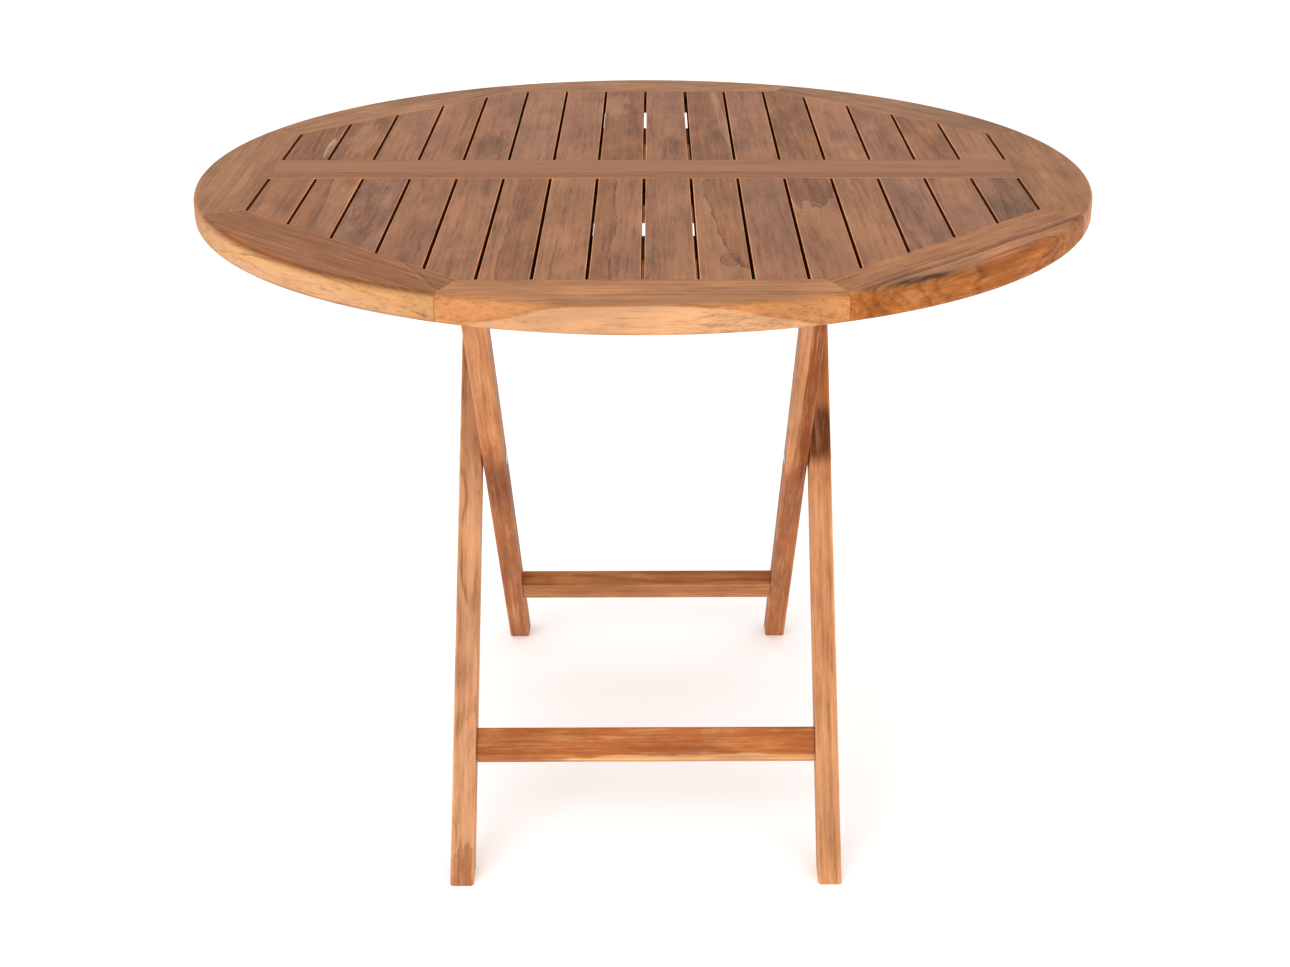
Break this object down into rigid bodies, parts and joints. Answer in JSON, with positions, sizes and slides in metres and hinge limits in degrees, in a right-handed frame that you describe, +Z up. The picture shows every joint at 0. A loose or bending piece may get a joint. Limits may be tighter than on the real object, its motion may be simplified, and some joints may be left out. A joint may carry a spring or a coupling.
{
  "type": "folding table",
  "caption": "Round slatted wooden folding table: a ringed plank top on two crossed leg frames that pivot at their middles and fold flat under the top.",
  "frame": {"origin": "on the floor, under the centre of the round top", "axes": "+Z up, +X to the right, front at -Y; slats run along Y, the centre rail, stretchers and joint axes along X"},
  "size_m": [1, 1, 0.75],
  "materials": {
    "teak_top": "oiled teak, pinkish brown, satin",
    "teak_rim": "oiled teak, golden brown, satin",
    "teak_legs": "oiled teak, orange brown, satin",
    "teak_under": "planed teak, matt",
    "steel": "brushed stainless steel"
  },
  "bodies": {
    "table_top": {"ring_front": "teak_rim", "ring_front_left": "teak_rim", "ring_left": "teak_rim", "ring_back_left": "teak_rim", "ring_back": "teak_rim", "ring_back_right": "teak_rim", "ring_right": "teak_rim", "ring_front_right": "teak_rim", "centre_rail": "teak_top", "slat_front_01": "teak_top", "slat_front_02": "teak_top", "slat_front_03": "teak_top", "slat_front_04": "teak_top", "slat_front_05": "teak_top", "slat_front_06": "teak_top", "slat_front_07": "teak_top", "slat_front_08": "teak_top", "slat_front_09": "teak_top", "slat_front_10": "teak_top", "slat_front_11": "teak_top", "slat_front_12": "teak_top", "slat_front_13": "teak_top", "slat_front_14": "teak_top", "slat_front_15": "teak_top", "slat_front_16": "teak_top", "slat_back_01": "teak_top", "slat_back_02": "teak_top", "slat_back_03": "teak_top", "slat_back_04": "teak_top", "slat_back_05": "teak_top", "slat_back_06": "teak_top", "slat_back_07": "teak_top", "slat_back_08": "teak_top", "slat_back_09": "teak_top", "slat_back_10": "teak_top", "slat_back_11": "teak_top", "slat_back_12": "teak_top", "slat_back_13": "teak_top", "slat_back_14": "teak_top", "slat_back_15": "teak_top", "slat_back_16": "teak_top", "batten_front": "teak_under", "batten_centre": "teak_under", "batten_back": "teak_under", "bearer_left": "teak_under", "bearer_right": "teak_under", "hinge_rivet_left": "steel", "hinge_rivet_right": "steel"},
    "outer_frame": {"outer_leg_left": "teak_legs", "outer_leg_right": "teak_legs", "outer_stretcher": "teak_legs", "pivot_rivet_left": "steel", "pivot_rivet_right": "steel", "pivot_washer_left": "steel", "pivot_washer_right": "steel"},
    "inner_frame": {"inner_leg_left": "teak_legs", "inner_leg_right": "teak_legs", "inner_stretcher": "teak_legs", "lock_bar": "teak_legs"}
  },
  "joints": [
    {"name": "leg_fold", "type": "hinge", "parent": "table_top", "child": "outer_frame", "pos_m": [0, 0.22054, 0.6825], "axis": [1, 0, 0], "range_deg": [-49.5, 33.5], "stiffness_Nm_per_rad": 10000},
    {"name": "cross_pivot", "type": "hinge", "parent": "outer_frame", "child": "inner_frame", "pos_m": [0, 0, 0.395], "axis": [1, 0, 0], "range_deg": [-67, 99]}
  ],
  "couplings": [
    {"joint": "cross_pivot", "follows": "leg_fold", "ratio": -2}
  ]
}
